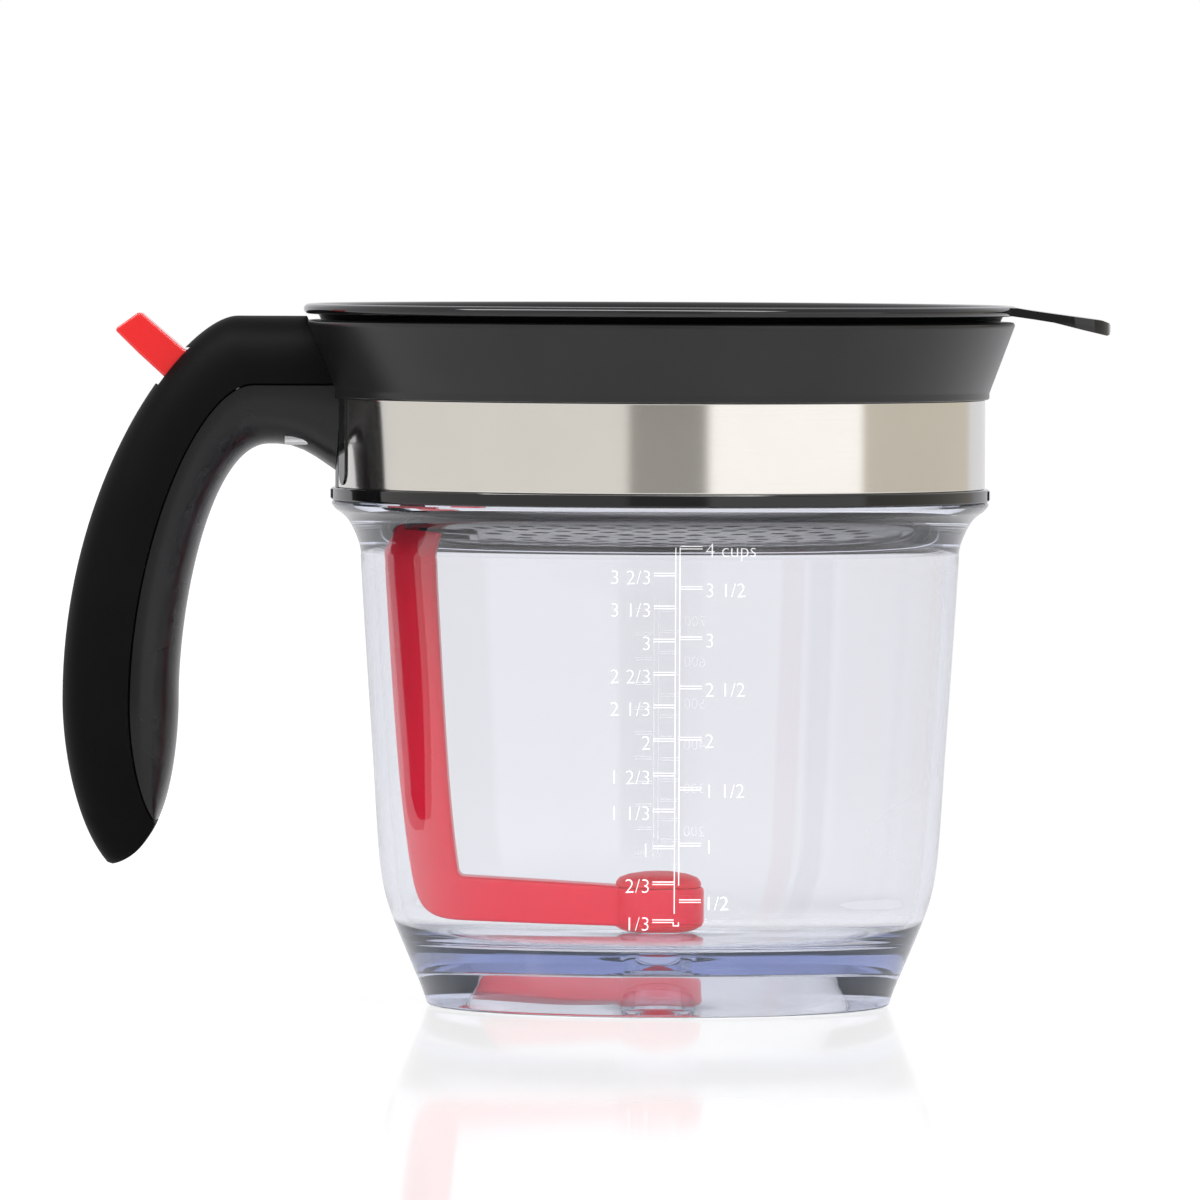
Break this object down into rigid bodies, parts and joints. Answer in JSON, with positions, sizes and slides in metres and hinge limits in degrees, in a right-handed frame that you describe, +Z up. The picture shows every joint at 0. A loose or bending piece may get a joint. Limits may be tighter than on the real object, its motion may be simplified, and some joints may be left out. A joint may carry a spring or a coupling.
{
  "type": "gravy fat separator",
  "caption": "Clear jug with a steel-banded black collar, side handle, thumb lever that lifts a drain stopper in its floor, and a lift-out strainer with a tab.",
  "frame": {"origin": "centre of the foot ring, on the table", "axes": "+X from the cup's axis to the strainer's tab, the handle is at -X, +Z up along the cup's axis"},
  "size_m": [0.2247, 0.1534, 0.1505],
  "materials": {
    "clear_cup": "clear, thick and polished",
    "soft_ring": "soft matte",
    "black_satin": "fine satin",
    "black_gloss": "glossy",
    "steel": "fine brushed, near polished",
    "black_matte": "matte",
    "black_soft": "satin soft-touch",
    "fastener": "plain",
    "red_tab": "satin, bright red",
    "red_arm": "satin, crimson",
    "red_soft": "soft satin, red"
  },
  "bodies": {
    "jug": {"cup": "clear_cup", "neck_gasket": "soft_ring", "collar": "black_satin", "lower_ring": "black_gloss", "steel_band": "steel", "handle_shell": "black_matte", "handle_grip": "black_soft", "handle_screws": "fastener", "lever_pin": "fastener", "return_spring": "fastener"},
    "valve_lever": {"thumb_lever": "red_tab", "valve_arm": "red_arm", "arm_screw": "fastener", "stopper": "red_soft", "stopper_cap": "red_soft"},
    "strainer_unit": {"strainer": "black_gloss", "strainer_screen": "black_gloss"}
  },
  "joints": [
    {"name": "lever_pivot", "type": "hinge", "parent": "jug", "child": "valve_lever", "pos_m": [-0.08, 0, 0.139], "axis": [0, -1, 0], "range_deg": [0, 6], "stiffness_Nm_per_rad": 0.25, "springref_deg": -17.19, "deforming": ["return_spring"]},
    {"name": "strainer_lift", "type": "slide", "parent": "jug", "child": "strainer_unit", "axis": [0, 0, 1], "range_m": [0, 0.06]}
  ]
}
